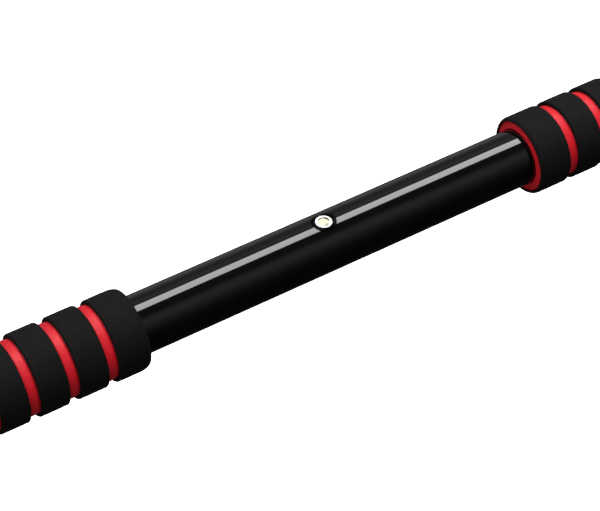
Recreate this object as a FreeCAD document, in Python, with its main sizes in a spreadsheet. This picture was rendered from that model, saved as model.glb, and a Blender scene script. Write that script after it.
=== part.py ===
"""Doorway pull-up bar: a steel centre tube with two ribbed foam grips and a round spirit level,
and at each end a threaded extension tube that turns out of a nut, a lock ring and a swivel foot.

The bar lies along X with its middle at the origin, and the level faces up, along +Z.
Every end piece is drawn at the +X end. Turned half a turn about Z it is the piece of the -X end,
where the thread is left-handed, so that turning the middle of the bar drives both feet outwards.
"""
import FreeCAD, Part
import os
import Sketcher
from FreeCAD import Placement, Rotation, Vector

PARTS_FOLDER = "parts"

# Driving dimensions in millimetres. Names ending in _start, _end and _place are distances along
# the bar from its middle.
SIZES = {
    "tube_diameter": 32.0,
    "tube_wall": 1.5,
    "tube_end": 300.0,
    "grip_start": 120.0,
    "grip_diameter": 45.0,
    "core_diameter": 40.6,
    "core_round": 1.5,
    "end_band_width": 20.2,
    "band_width": 16.6,
    "groove_width": 5.2,
    "shoulder_round": 2.1,
    "band_round": 1.2,
    "level_place": -6.4,
    "level_diameter": 13.4,
    "level_top": 16.1,
    "level_bottom": 9.5,
    "level_floor": 1.0,
    "level_round": 0.4,
    "vial_diameter": 9.5,
    "reflector_thickness": 0.5,
    "vial_top": 15.7,
    "vial_lid": 0.9,
    "vial_wall": 0.8,
    "bubble_diameter": 5.8,
    "bubble_depth": 0.9,
    "thread_pitch": 5.0,
    "thread_diameter": 24.0,
    "thread_core": 21.8,
    "crest_width": 1.4,
    "root_width": 3.0,
    "thread_overlap": 0.4,
    "thread_gap": 0.3,
    "thread_start": 140.0,
    "thread_turns": 36.0,
    "screw_start": 121.0,
    "screw_end": 341.0,
    "screw_wall": 1.5,
    "nut_start": 260.0,
    "nut_flange_diameter": 36.0,
    "nut_flange_width": 5.0,
    "nut_round": 1.0,
    "nut_thread_start": 255.0,
    "nut_thread_turns": 12.0,
    "pin_place": 282.0,
    "pin_diameter": 4.0,
    "pin_foot": 13.2,
    "pin_head": 15.9,
    "guide_start": 125.2,
    "guide_width": 8.0,
    "running_gap": 0.08,
    "clip_width": 1.2,
    "clip_gap": 0.1,
    "clip_depth": 0.6,
    "clip_diameter": 25.6,
    "clip_mouth": 5.0,
    "washer_start": 305.1,
    "washer_end": 306.5,
    "washer_diameter": 34.0,
    "lock_start": 306.6,
    "lock_end": 319.0,
    "lock_diameter": 43.0,
    "lock_thread_start": 300.0,
    "lock_thread_turns": 5.0,
    "scallop_count": 12,
    "scallop_radius": 4.0,
    "scallop_place": 24.2,
    "lock_round": 1.0,
    "shell_start": 325.0,
    "hub_diameter": 37.0,
    "hub_end": 331.0,
    "flare_diameter": 50.0,
    "flare_end": 335.0,
    "shoulder_diameter": 72.0,
    "shoulder_end": 340.0,
    "rim_diameter": 73.0,
    "hub_round": 2.0,
    "shell_bore": 22.6,
    "disc_start": 338.1,
    "disc_end": 340.9,
    "disc_diameter": 40.0,
    "disc_room": 43.0,
    "disc_room_start": 337.8,
    "thrust_start": 341.1,
    "thrust_bore": 12.0,
    "thrust_diameter": 38.0,
    "plate_start": 342.5,
    "plate_end": 345.0,
    "plate_diameter": 66.4,
    "pad_diameter": 76.0,
    "pad_lip": 341.0,
    "pad_face": 350.0,
    "pad_round": 1.6,
    "tread_depth": 1.2,
    "tread_width": 2.0,
    "tread_first": 10.0,
    "tread_pitch": 6.0,
    "foot_screw_count": 4,
    "foot_screw_circle": 55.0,
    "foot_screw_diameter": 4.0,
    "foot_screw_head": 7.6,
    "foot_screw_sink": 1.8,
    "foot_screw_tip": 338.5,
}
GROOVE_COUNT = 7
TREAD_COUNT = 5

doc = FreeCAD.newDocument("pull_up_bar")
sub_parts = []


def make_sheet():
    """One row for each driving dimension: its name, and its value under that name."""
    sheet = doc.addObject("Spreadsheet::Sheet", "Sizes")
    for row, (name, value) in enumerate(SIZES.items(), start=1):
        sheet.set(f"A{row}", name)
        sheet.set(f"B{row}", str(value))
        sheet.setAlias(f"B{row}", name)
    doc.recompute()


def sized(formula):
    """The formula with each driving dimension in it named as a cell of the sheet."""
    return " ".join("Sizes." + word if word in SIZES else word for word in formula.split())


def new_body(label, side="right"):
    """A body for the +X end, or turned half a turn about Z for the -X end."""
    body = doc.addObject("PartDesign::Body", label)
    body.Label = label
    body.AllowCompound = True
    if side == "left":
        body.Placement = Placement(Vector(0, 0, 0), Rotation(Vector(0, 0, 1), 180))
    sub_parts.append(body)
    return body


def new_sketch(body, name, plane, offset="0"):
    """An empty sketch on one of the body's own planes, moved along the plane's normal."""
    sketch = body.newObject("Sketcher::SketchObject", f"{body.Name}_{name}")
    origin_plane = next(item for item in body.Origin.OriginFeatures if item.Role == plane)
    sketch.AttachmentSupport = (origin_plane, [""])
    sketch.MapMode = "FlatFace"
    if offset != "0":
        sketch.setExpression("AttachmentOffset.Base.z", sized(offset))
    return sketch


def add_loop(sketch, corners):
    """A closed outline of straight lines, each corner held by two formulas: across and up."""
    first = sketch.GeometryCount
    count = len(corners)
    rough = [Vector(10 + index, (index * index) % 7 + 5, 0) for index in range(count)]
    for index in range(count):
        sketch.addGeometry(Part.LineSegment(rough[index], rough[(index + 1) % count]), False)
    for index in range(count):
        following = first + (index + 1) % count
        sketch.addConstraint(Sketcher.Constraint("Coincident", first + index, 2, following, 1))
    for index, (across, up) in enumerate(corners):
        for kind, formula in (("DistanceX", across), ("DistanceY", up)):
            place = sketch.addConstraint(Sketcher.Constraint(kind, -1, 1, first + index, 1, 1.0))
            sketch.setExpression(f"Constraints[{place}]", sized(formula))


def add_circle(sketch, across, up, diameter):
    """A circle with its centre and diameter held by formulas."""
    circle = sketch.addGeometry(Part.Circle(Vector(1, 1, 0), Vector(0, 0, 1), 2.0), False)
    for kind, formula in (("DistanceX", across), ("DistanceY", up)):
        place = sketch.addConstraint(Sketcher.Constraint(kind, -1, 1, circle, 3, 1.0))
        sketch.setExpression(f"Constraints[{place}]", sized(formula))
    place = sketch.addConstraint(Sketcher.Constraint("Diameter", circle, 4.0))
    sketch.setExpression(f"Constraints[{place}]", sized(diameter))


def turn(body, name, loops, kind="PartDesign::Revolution", plane="XY_Plane", axis="H_Axis"):
    """Turns outlines of (along, out) corners about the body's X axis, or Z with plane XZ_Plane."""
    sketch = new_sketch(body, name + "_outline", plane)
    for corners in loops:
        add_loop(sketch, corners)
    doc.recompute()
    feature = body.newObject(kind, f"{body.Name}_{name}")
    feature.Profile = sketch
    feature.ReferenceAxis = (sketch, [axis])
    feature.Angle = 360
    doc.recompute()
    return feature


def ring(start, end, inner, outer):
    """The outline of a plain ring from start to end along the axis, between two diameters."""
    low = f"( {inner} ) / 2"
    high = f"( {outer} ) / 2"
    return [(start, low), (end, low), (end, high), (start, high)]


def round_edges(body, name, radius, wanted):
    """Rounds the body's circular edges for which wanted(centre, edge radius) is true."""
    base = body.Tip
    names = []
    for index, edge in enumerate(body.Shape.Edges, start=1):
        if edge.Curve.TypeId == "Part::GeomCircle" and wanted(edge.Curve.Center, edge.Curve.Radius):
            names.append(f"Edge{index}")
    if not names:
        raise ValueError(f"{body.Label}: no edges to round for {name}")
    fillet = body.newObject("PartDesign::Fillet", f"{body.Name}_{name}")
    fillet.Base = (base, names)
    fillet.setExpression("Radius", sized(radius))
    doc.recompute()


def pocket(body, sketch, name, length):
    """Cuts the sketch to a stated length on both sides of its plane."""
    feature = body.newObject("PartDesign::Pocket", f"{body.Name}_{name}")
    feature.Profile = sketch
    feature.Midplane = True
    feature.setExpression("Length", sized(length))
    doc.recompute()
    return feature


def bore_across(body, name, along, diameter, plane, start, length):
    """Cuts a round hole square to the axis, from the offset plane outwards only."""
    sketch = new_sketch(body, name + "_circle", plane, f"{start} + ( {length} ) / 2")
    add_circle(sketch, along, "0", diameter)
    doc.recompute()
    return pocket(body, sketch, name, length)


def copies_about_x(body, features, name, count):
    """Repeats features evenly round the X axis."""
    pattern = body.newObject("PartDesign::PolarPattern", f"{body.Name}_{name}")
    pattern.Originals = features
    x_axis = next(item for item in body.Origin.OriginFeatures if item.Role == "X_Axis")
    pattern.Axis = (x_axis, [""])
    pattern.Angle = 360
    pattern.setExpression("Occurrences", sized(count))
    body.Tip = pattern
    doc.recompute()
    return pattern


def cut_or_add_thread(body, kind, start, turns, gap, side):
    """A trapezoid swept along a helix round X, widened and heightened by the gap."""
    half_root = f"root_width / 2 + {gap}"
    half_crest = f"crest_width / 2 + {gap}"
    foot = "thread_core / 2 - thread_overlap"
    crest = f"thread_diameter / 2 + {gap}"
    sketch = new_sketch(body, "tooth", "XY_Plane")
    add_loop(sketch, [
        (f"{start} - ( {half_root} )", foot),
        (f"{start} + {half_root}", foot),
        (f"{start} + {half_root}", "thread_core / 2"),
        (f"{start} + {half_crest}", crest),
        (f"{start} - ( {half_crest} )", crest),
        (f"{start} - ( {half_root} )", "thread_core / 2"),
    ])
    doc.recompute()
    thread = body.newObject(kind, f"{body.Name}_thread")
    thread.Profile = sketch
    thread.ReferenceAxis = (sketch, ["H_Axis"])
    thread.Mode = "pitch-turns-angle"
    thread.setExpression("Pitch", sized("thread_pitch"))
    thread.setExpression("Turns", sized(turns))
    thread.LeftHanded = side == "left"
    doc.recompute()
    return thread


# ---------------------------------------------------------------- the middle of the bar

def centre_tube():
    """The gloss steel tube, with the level's hole in its top."""
    body = new_body("centre_tube")
    turn(body, "wall", [ring("0 - tube_end", "tube_end", "tube_diameter - 2 * tube_wall",
                             "tube_diameter")])
    bore_across(body, "level_hole", "level_place", "level_diameter", "XY_Plane",
                "tube_diameter / 4", "tube_diameter / 2")
    for side, sign in (("right", ""), ("left", "0 - ")):
        for face, where in (("top", "0 + tube_diameter / 4"), ("under", "0 - tube_diameter * 3 / 4")):
            bore_across(body, f"pin_hole_{side}_{face}", f"{sign}pin_place", "pin_diameter",
                        "XY_Plane", where, "tube_diameter / 2")


def level_cup():
    """The level's black cup, let into the tube."""
    body = new_body("level_cup")
    turn(body, "cup", [[
        ("0", "level_bottom"),
        ("level_diameter / 2", "level_bottom"),
        ("level_diameter / 2", "level_top"),
        ("vial_diameter / 2", "level_top"),
        ("vial_diameter / 2", "level_bottom + level_floor"),
        ("0", "level_bottom + level_floor"),
    ]], plane="XZ_Plane", axis="V_Axis")
    round_edges(body, "rim_round", "level_round",
                lambda centre, radius: centre.z > SIZES["level_top"] - 0.01)
    body.setExpression("Placement.Base.x", sized("level_place"))


def level_reflector():
    """The white disc under the level's fluid."""
    body = new_body("level_reflector")
    turn(body, "disc", [[
        ("0", "level_bottom + level_floor"),
        ("vial_diameter / 2", "level_bottom + level_floor"),
        ("vial_diameter / 2", "level_bottom + level_floor + reflector_thickness"),
        ("0", "level_bottom + level_floor + reflector_thickness"),
    ]], plane="XZ_Plane", axis="V_Axis")
    body.setExpression("Placement.Base.x", sized("level_place"))


def level_vial():
    """The level's clear cap, hollow underneath for the fluid."""
    body = new_body("level_vial")
    bottom = "level_bottom + level_floor + reflector_thickness"
    turn(body, "cap", [[
        ("vial_diameter / 2 - vial_wall", bottom),
        ("vial_diameter / 2", bottom),
        ("vial_diameter / 2", "vial_top"),
        ("0", "vial_top"),
        ("0", "vial_top - vial_lid"),
        ("vial_diameter / 2 - vial_wall", "vial_top - vial_lid"),
    ]], plane="XZ_Plane", axis="V_Axis")
    body.setExpression("Placement.Base.x", sized("level_place"))


def level_fluid():
    """The pale fluid, with the bubble's hollow under the cap."""
    body = new_body("level_fluid")
    bottom = "level_bottom + level_floor + reflector_thickness"
    turn(body, "fill", [[
        ("0", bottom),
        ("vial_diameter / 2 - vial_wall", bottom),
        ("vial_diameter / 2 - vial_wall", "vial_top - vial_lid"),
        ("bubble_diameter / 2", "vial_top - vial_lid"),
        ("bubble_diameter * 0.35", "vial_top - vial_lid - bubble_depth * 0.8"),
        ("0", "vial_top - vial_lid - bubble_depth"),
    ]], plane="XZ_Plane", axis="V_Axis")
    body.setExpression("Placement.Base.x", sized("level_place"))


# ---------------------------------------------------------------- the grips

def band_edges():
    """The start and end of each black foam band, as formulas, from the inner end of the grip."""
    edges = []
    start = "grip_start"
    for index in range(GROOVE_COUNT + 1):
        width = "end_band_width" if index in (0, GROOVE_COUNT) else "band_width"
        end = f"{start} + {width}"
        edges.append((start, end))
        start = f"{end} + groove_width"
    return edges


def grip_core(side):
    """The red inner layer of foam, full length, directly on the tube."""
    body = new_body(f"{side}_grip_core", side)
    end = band_edges()[-1][1]
    turn(body, "sleeve", [ring("grip_start", end, "tube_diameter", "core_diameter")])
    round_edges(body, "end_round", "core_round",
                lambda centre, radius: radius > SIZES["tube_diameter"] / 2 + 0.5)


def grip_bands(side):
    """The eight black bands of foam round the core, apart by the red grooves."""
    body = new_body(f"{side}_grip_bands", side)
    edges = band_edges()
    turn(body, "bands", [ring(start, end, "core_diameter", "grip_diameter")
                         for start, end in edges])
    inner = SIZES["grip_start"]
    outer = inner + 2 * SIZES["end_band_width"] + (GROOVE_COUNT - 1) * SIZES["band_width"]
    outer += GROOVE_COUNT * SIZES["groove_width"]
    rim = SIZES["grip_diameter"] / 2 - 0.01

    def at_grip_end(centre):
        along = abs(centre.x)
        return abs(along - inner) < 0.01 or abs(along - outer) < 0.01

    round_edges(body, "shoulders", "shoulder_round",
                lambda centre, radius: radius > rim and at_grip_end(centre))
    round_edges(body, "groove_edges", "band_round",
                lambda centre, radius: radius > rim
                and inner + 8 < abs(centre.x) < outer - 8)


# ---------------------------------------------------------------- the threaded end

def thread_nut(side):
    """The flanged nut pressed into the tube's end."""
    body = new_body(f"{side}_thread_nut", side)
    bore = "thread_core + 2 * thread_gap"
    turn(body, "blank", [[
        ("nut_start", f"( {bore} ) / 2"),
        ("tube_end + nut_flange_width", f"( {bore} ) / 2"),
        ("tube_end + nut_flange_width", "nut_flange_diameter / 2"),
        ("tube_end", "nut_flange_diameter / 2"),
        ("tube_end", "tube_diameter / 2 - tube_wall"),
        ("nut_start", "tube_diameter / 2 - tube_wall"),
    ]])
    for face, where in (("top", "0 + pin_foot"), ("under", "0 - pin_foot - tube_diameter / 2")):
        bore_across(body, f"pin_hole_{face}", "pin_place", "pin_diameter",
                    "XY_Plane", where, "tube_diameter / 2")
    round_edges(body, "flange_round", "nut_round",
                lambda centre, radius: radius > SIZES["nut_flange_diameter"] / 2 - 0.01)
    cut_or_add_thread(body, "PartDesign::SubtractiveHelix", "nut_thread_start",
                      "nut_thread_turns", "thread_gap", side)


def nut_pins(side):
    """The two pins that hold the nut in the tube, flush under the foam."""
    body = new_body(f"{side}_nut_pins", side)
    for face, sign in (("top", "0 + "), ("under", "0 - ")):
        middle = f"{sign}( pin_foot + pin_head ) / 2"
        sketch = new_sketch(body, f"pin_{face}_circle", "XY_Plane", middle)
        add_circle(sketch, "pin_place", "0", "pin_diameter")
        doc.recompute()
        pin = body.newObject("PartDesign::Pad", f"{body.Name}_pin_{face}")
        pin.Profile = sketch
        pin.Midplane = True
        pin.setExpression("Length", sized("pin_head - pin_foot"))
        doc.recompute()


def screw_tube(side):
    """The threaded extension tube, with a clip groove each side of its guide bush."""
    body = new_body(f"{side}_screw_tube", side)
    bore = "thread_core - 2 * screw_wall"
    turn(body, "wall", [ring("screw_start", "screw_end", bore, "thread_core")])
    grooves = []
    for start in clip_starts():
        grooves.append(ring(start, f"{start} + clip_width", "thread_core - 2 * clip_depth",
                            "thread_core + 2"))
    turn(body, "clip_grooves", grooves, "PartDesign::Groove")
    cut_or_add_thread(body, "PartDesign::AdditiveHelix", "thread_start", "thread_turns", "0", side)


def clip_starts():
    """Where each stop clip starts along the bar: just before the guide bush, and just after."""
    return ["guide_start - clip_gap - clip_width", "guide_start + guide_width + clip_gap"]


def guide_bush(side):
    """The plastic bush that keeps the screw's inner end central in the tube."""
    body = new_body(f"{side}_guide_bush", side)
    turn(body, "bush", [ring("guide_start", "guide_start + guide_width",
                             "thread_core + 2 * running_gap",
                             "tube_diameter - 2 * tube_wall - 2 * running_gap")])


def stop_clips(side):
    """The two open spring clips that hold the guide bush on the screw."""
    body = new_body(f"{side}_stop_clips", side)
    turn(body, "clips", [ring(start, f"{start} + clip_width", "thread_core - 2 * clip_depth",
                              "clip_diameter") for start in clip_starts()])
    sketch = new_sketch(body, "mouth_outline", "XZ_Plane")
    add_loop(sketch, [
        ("guide_start - 4", "0"),
        ("guide_start + guide_width + 4", "0"),
        ("guide_start + guide_width + 4", "clip_diameter"),
        ("guide_start - 4", "clip_diameter"),
    ])
    doc.recompute()
    pocket(body, sketch, "mouth", "clip_mouth")


def lock_washer(side):
    """The thin washer between the nut and the lock ring."""
    body = new_body(f"{side}_lock_washer", side)
    turn(body, "washer", [ring("washer_start", "washer_end", "thread_diameter + 2 * thread_gap",
                               "washer_diameter")])


def lock_ring(side):
    """The scalloped hand nut that locks the screw."""
    body = new_body(f"{side}_lock_ring", side)
    turn(body, "blank", [ring("lock_start", "lock_end", "thread_core + 2 * thread_gap",
                              "lock_diameter")])
    round_edges(body, "rim_round", "lock_round",
                lambda centre, radius: radius > SIZES["lock_diameter"] / 2 - 0.01)
    sketch = new_sketch(body, "scallop_circle", "YZ_Plane", "( lock_start + lock_end ) / 2")
    add_circle(sketch, "scallop_place", "0", "2 * scallop_radius")
    doc.recompute()
    scallop = pocket(body, sketch, "scallop", "lock_end - lock_start + 4")
    copies_about_x(body, [scallop], "scallops", "scallop_count")
    cut_or_add_thread(body, "PartDesign::SubtractiveHelix", "lock_thread_start",
                      "lock_thread_turns", "thread_gap", side)


# ---------------------------------------------------------------- the foot

def swivel_disc(side):
    """The steel disc on the screw's end that the foot turns round."""
    body = new_body(f"{side}_swivel_disc", side)
    turn(body, "disc", [ring("disc_start", "disc_end", "thread_core", "disc_diameter")])


def foot_shell(side):
    """The flared plastic foot, hollow for the disc and the plate."""
    body = new_body(f"{side}_foot_shell", side)
    turn(body, "shell", [[
        ("shell_start", "shell_bore / 2"),
        ("disc_room_start", "shell_bore / 2"),
        ("disc_room_start", "disc_room / 2"),
        ("plate_start", "disc_room / 2"),
        ("plate_start", "plate_diameter / 2"),
        ("plate_end", "plate_diameter / 2"),
        ("plate_end", "rim_diameter / 2"),
        ("pad_lip", "rim_diameter / 2"),
        ("shoulder_end", "shoulder_diameter / 2"),
        ("flare_end", "flare_diameter / 2"),
        ("hub_end", "hub_diameter / 2"),
        ("shell_start", "hub_diameter / 2"),
    ]])
    round_edges(body, "hub_rounds", "hub_round",
                lambda centre, radius: abs(radius - SIZES["hub_diameter"] / 2) < 0.01
                or abs(radius - SIZES["flare_diameter"] / 2) < 0.01)
    sketch = new_sketch(body, "screw_hole_circle", "YZ_Plane", "foot_screw_tip")
    add_circle(sketch, "foot_screw_circle / 2", "0", "foot_screw_diameter")
    doc.recompute()
    hole = body.newObject("PartDesign::Pocket", f"{body.Name}_screw_hole")
    hole.Profile = sketch
    hole.Reversed = True
    hole.setExpression("Length", sized("plate_end - foot_screw_tip"))
    doc.recompute()
    copies_about_x(body, [hole], "screw_holes", "foot_screw_count")


def thrust_washer(side):
    """The slippery washer between the disc and the plate."""
    body = new_body(f"{side}_thrust_washer", side)
    turn(body, "washer", [ring("thrust_start", "plate_start", "thrust_bore", "thrust_diameter")])


def foot_screw_outline():
    """Half the outline of a countersunk screw with its axis along X, on its own axis."""
    return [
        ("foot_screw_tip", "0"),
        ("plate_end", "0"),
        ("plate_end", "foot_screw_head / 2"),
        ("plate_end - foot_screw_sink", "foot_screw_diameter / 2"),
        ("foot_screw_tip", "foot_screw_diameter / 2"),
    ]


def turned_off_axis(body, name, kind):
    """Turns the foot screw's outline about a line parallel to X at the screw circle."""
    sketch = new_sketch(body, name + "_outline", "XY_Plane")
    add_loop(sketch, [(along, f"foot_screw_circle / 2 + {out}")
                      for along, out in foot_screw_outline()])
    axis = sketch.addGeometry(Part.LineSegment(Vector(300, 20, 0), Vector(350, 20, 0)), True)
    for end, along in ((1, "foot_screw_tip"), (2, "plate_end")):
        for way, formula in (("DistanceX", along), ("DistanceY", "foot_screw_circle / 2")):
            place = sketch.addConstraint(Sketcher.Constraint(way, -1, 1, axis, end, 1.0))
            sketch.setExpression(f"Constraints[{place}]", sized(formula))
    doc.recompute()
    feature = body.newObject(kind, f"{body.Name}_{name}")
    feature.Profile = sketch
    feature.ReferenceAxis = (sketch, ["Axis0"])
    feature.Angle = 360
    doc.recompute()
    return feature


def retaining_plate(side):
    """The steel plate that shuts the disc into the shell, countersunk for four screws."""
    body = new_body(f"{side}_retaining_plate", side)
    turn(body, "plate", [[
        ("plate_start", "0"),
        ("plate_end", "0"),
        ("plate_end", "plate_diameter / 2"),
        ("plate_start", "plate_diameter / 2"),
    ]])
    sink = turned_off_axis(body, "sink", "PartDesign::Groove")
    copies_about_x(body, [sink], "sinks", "foot_screw_count")


def foot_screws(side):
    """The four countersunk screws that hold the plate."""
    body = new_body(f"{side}_foot_screws", side)
    screw = turned_off_axis(body, "screw", "PartDesign::Revolution")
    copies_about_x(body, [screw], "screws", "foot_screw_count")


def foot_pad(side):
    """The rubber pad with ringed tread that bears on the door frame, hooked over the shell's rim."""
    body = new_body(f"{side}_foot_pad", side)
    turn(body, "pad", [[
        ("plate_end", "0"),
        ("pad_face", "0"),
        ("pad_face", "pad_diameter / 2"),
        ("pad_lip", "pad_diameter / 2"),
        ("pad_lip", "rim_diameter / 2"),
        ("plate_end", "rim_diameter / 2"),
    ]])
    round_edges(body, "rim_round", "pad_round",
                lambda centre, radius: radius > SIZES["pad_diameter"] / 2 - 0.01
                and abs(centre.x) > SIZES["pad_face"] - 0.01)
    treads = []
    for index in range(TREAD_COUNT):
        middle = f"2 * ( tread_first + {index} * tread_pitch )"
        treads.append(ring("pad_face - tread_depth", "pad_face + 1",
                           f"{middle} - tread_width", f"{middle} + tread_width"))
    turn(body, "treads", treads, "PartDesign::Groove")


# ---------------------------------------------------------------- the whole bar

def check_and_write():
    """Stops on any faulty object, then writes one STEP file for each sub-part."""
    doc.recompute()
    for item in doc.Objects:
        if "Invalid" in item.State or "Error" in item.State:
            raise RuntimeError(f"{item.Label} is {item.State}")
    os.makedirs(PARTS_FOLDER, exist_ok=True)
    for body in sub_parts:
        if body.Shape.isNull() or not body.Shape.isValid() or body.Shape.Volume <= 0:
            raise RuntimeError(f"{body.Label} has no valid shape")
        body.Shape.exportStep(f"{PARTS_FOLDER}/{body.Label}.step")
        print(body.Label, len(body.Shape.Solids), round(body.Shape.Volume, 1))


make_sheet()
centre_tube()
level_cup()
level_reflector()
level_vial()
level_fluid()
for end_side in ("left", "right"):
    grip_core(end_side)
    grip_bands(end_side)
    thread_nut(end_side)
    nut_pins(end_side)
    screw_tube(end_side)
    guide_bush(end_side)
    stop_clips(end_side)
    lock_washer(end_side)
    lock_ring(end_side)
    swivel_disc(end_side)
    foot_shell(end_side)
    thrust_washer(end_side)
    retaining_plate(end_side)
    foot_screws(end_side)
    foot_pad(end_side)
check_and_write()
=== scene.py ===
"""The looks of a doorway pull-up bar: gloss tube, foam grips, round level, threaded ends and feet."""

import math

import bmesh
import bpy
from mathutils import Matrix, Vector, noise


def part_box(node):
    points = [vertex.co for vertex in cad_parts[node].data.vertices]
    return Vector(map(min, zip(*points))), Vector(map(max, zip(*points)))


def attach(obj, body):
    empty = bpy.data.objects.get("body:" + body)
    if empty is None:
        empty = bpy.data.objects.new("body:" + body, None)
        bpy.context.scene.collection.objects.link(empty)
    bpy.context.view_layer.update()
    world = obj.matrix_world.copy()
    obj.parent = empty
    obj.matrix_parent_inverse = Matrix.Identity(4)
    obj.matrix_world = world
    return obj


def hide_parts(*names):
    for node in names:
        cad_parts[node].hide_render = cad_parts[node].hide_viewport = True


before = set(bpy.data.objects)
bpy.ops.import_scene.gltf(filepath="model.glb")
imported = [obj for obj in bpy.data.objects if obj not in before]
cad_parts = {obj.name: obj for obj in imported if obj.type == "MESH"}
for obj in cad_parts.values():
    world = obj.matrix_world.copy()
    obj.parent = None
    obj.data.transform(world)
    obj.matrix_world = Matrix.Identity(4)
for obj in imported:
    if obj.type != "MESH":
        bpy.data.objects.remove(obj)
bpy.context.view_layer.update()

bl_info = {
    "name": "Pull-up bar",
    "version": (1, 0, 0),
    "blender": (4, 5, 0),
    "location": "View3D > Sidebar > Pull-up bar",
    "description": "Builds the tube, grips, level, threaded ends and feet of a doorway pull-up bar",
    "category": "Add Mesh",
}

MM = 0.001
SIDES = (("left", -1), ("right", 1))
GROOVES = 7
# How many steps the foam takes round the bar, and the thread in one turn.
FOAM_STEPS = 160
THREAD_STEPS = 48
# Each grip's cut is given: where its foam starts, how far its shoulder runs (along, inwards),
# and where its first groove is.
END_TRIM = {"left": 1.3 * MM, "right": -0.3 * MM}
SHOULDER = {"left": (6.0 * MM, 2.0 * MM), "right": (2.8 * MM, 1.75 * MM)}
FIRST_GROOVE = {"left": 22.7 * MM, "right": 22.1 * MM}

# Sizes that the frame gives, for the right end; the left one mirrors it.
TUBE_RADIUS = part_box("centre_tube")[1][2]
BANDS_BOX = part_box("right_grip_bands")
GRIP_RADIUS = BANDS_BOX[1][2]
GRIP_START = BANDS_BOX[0][0]
GRIP_END = BANDS_BOX[1][0]
CUP_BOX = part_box("level_cup")
LEVEL_X = (CUP_BOX[0][0] + CUP_BOX[1][0]) / 2
LEVEL_HOLE = (CUP_BOX[1][0] - CUP_BOX[0][0]) / 2
FEET_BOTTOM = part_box("right_foot_pad")[0][2]
SCREW_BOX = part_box("right_screw_tube")
SCREW_START = SCREW_BOX[0][0]
SCREW_END = SCREW_BOX[1][0]
THREAD_RADIUS = SCREW_BOX[1][2]
CLIPS_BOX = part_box("right_stop_clips")

# The screw's other sizes; the middle of its thread is shifted inwards from its own middle.
SCREW_WALL = 1.5 * MM
CLIP_WIDTH = 1.2 * MM
CLIP_DEPTH = 0.6 * MM
THREAD_SHIFT = 1.0 * MM

# The camera's lens, where it stands from the level, and what it looks along.
CAMERA_LENS = 131.066
CAMERA_FROM_LEVEL = (-0.43448, -0.67993, 0.82059)
CAMERA_FORWARD = (0.3662, 0.5929, -0.71719)
FLOOR_DROP = 0.35
WHITE = (1.0, 1.0, 1.0, 1.0)


# ---------------------------------------------------------------- what a user can change

LENGTH = {"min": 0.0, "subtype": "DISTANCE", "unit": "LENGTH"}
COLOUR = {"min": 0.0, "max": 1.0, "subtype": "COLOR"}


class PullUpBarSizes(bpy.types.PropertyGroup):
    """Sizes of the foam, the level and the threads; lengths are in metres."""

    groove_width: bpy.props.FloatProperty(
        name="Groove width", description="Width of each red groove in a grip",
        default=5.8 * MM, **LENGTH)
    groove_floor: bpy.props.FloatProperty(
        name="Groove floor", description="Radius of the red foam at the bottom of a groove",
        default=20.3 * MM, **LENGTH)
    groove_pitch: bpy.props.FloatProperty(
        name="Groove pitch", description="Distance from one groove to the next",
        default=21.8 * MM, **LENGTH)
    core_radius: bpy.props.FloatProperty(
        name="Core radius", description="Radius of the red core at the ends of a grip",
        default=20.4 * MM, **LENGTH)
    core_slope: bpy.props.FloatProperty(
        name="Core slope", description="How far the core's end face falls back from the tube",
        default=1.3 * MM, **LENGTH)
    band_rounding: bpy.props.FloatProperty(
        name="Band rounding", description="Rounding of the foam bands beside a groove",
        default=1.0 * MM, **LENGTH)
    foam_swell: bpy.props.FloatProperty(
        name="Foam swell", description="How far a band bulges between two grooves",
        default=0.18 * MM, **LENGTH)
    window_radius: bpy.props.FloatProperty(
        name="Window radius", description="Radius of the level's clear window",
        default=4.6 * MM, **LENGTH)
    thread_pitch: bpy.props.FloatProperty(
        name="Thread pitch", description="Distance from one turn of a screw's thread to the next",
        default=5.0 * MM, **LENGTH)
    thread_depth: bpy.props.FloatProperty(
        name="Thread depth", description="Height of the thread over the screw's core",
        default=1.1 * MM, **LENGTH)
    thread_turns: bpy.props.IntProperty(
        name="Thread turns", description="How many turns the thread makes on each screw",
        default=36, min=1)
    bubble_radius: bpy.props.FloatProperty(
        name="Bubble radius", description="Radius of the level's bubble",
        default=2.9 * MM, **LENGTH)


class PullUpBarColours(bpy.types.PropertyGroup):
    """Base colours of the finishes."""

    paint: bpy.props.FloatVectorProperty(
        name="Paint", description="Gloss paint of the tube",
        default=(0.0015, 0.0015, 0.0015), **COLOUR)
    foam_black: bpy.props.FloatVectorProperty(
        name="Black foam", description="Outer foam of the grips",
        default=(0.0052, 0.0052, 0.005), **COLOUR)
    foam_red: bpy.props.FloatVectorProperty(
        name="Red foam", description="Inner foam of the grips",
        default=(0.55, 0.007, 0.016), **COLOUR)
    fluid: bpy.props.FloatVectorProperty(
        name="Level fluid", description="Pale fluid in the level",
        default=(0.7, 0.7, 0.52), **COLOUR)
    plastic: bpy.props.FloatVectorProperty(
        name="Black plastic", description="Moulded feet and lock rings",
        default=(0.012, 0.012, 0.013), **COLOUR)
    zinc: bpy.props.FloatVectorProperty(
        name="Zinc", description="Plated nuts, plates and screws",
        default=(0.62, 0.63, 0.66), **COLOUR)


def sizes():
    return bpy.context.scene.pull_up_bar_sizes


def colours():
    return bpy.context.scene.pull_up_bar_colours


# ---------------------------------------------------------------- shared shader effects

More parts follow.
